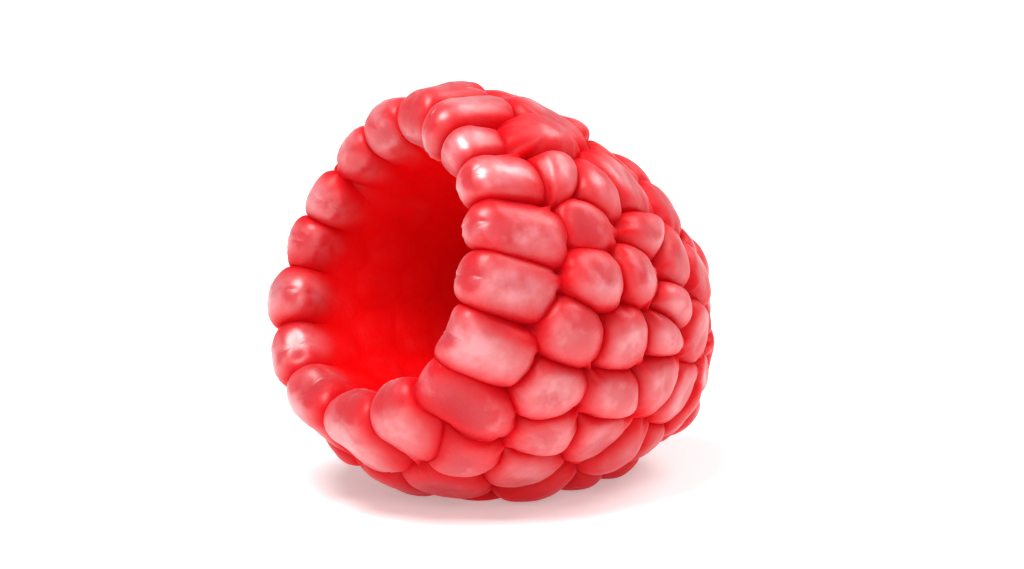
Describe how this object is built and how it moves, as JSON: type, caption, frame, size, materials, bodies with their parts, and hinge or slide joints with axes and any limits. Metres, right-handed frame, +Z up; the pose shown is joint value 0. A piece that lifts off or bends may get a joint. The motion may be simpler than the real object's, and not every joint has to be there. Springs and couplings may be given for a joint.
{
  "type": "raspberry",
  "caption": "Picked ripe raspberry lying on its side: a hollow cone of drupelets grown together, open at the wide end.",
  "frame": {"origin": "middle of the fruit's outline seen from above, on the surface it rests on", "axes": "+Z up from the surface, -Y the way the open end faces, +Y towards the tip, +X to the right as seen from the open end"},
  "size_m": [0.0202, 0.0226, 0.0197],
  "materials": {
    "raspberry_flesh": "soft, velvety sheen on moist red flesh"
  },
  "bodies": {
    "root": {"raspberry": "raspberry_flesh"}
  },
  "joints": []
}
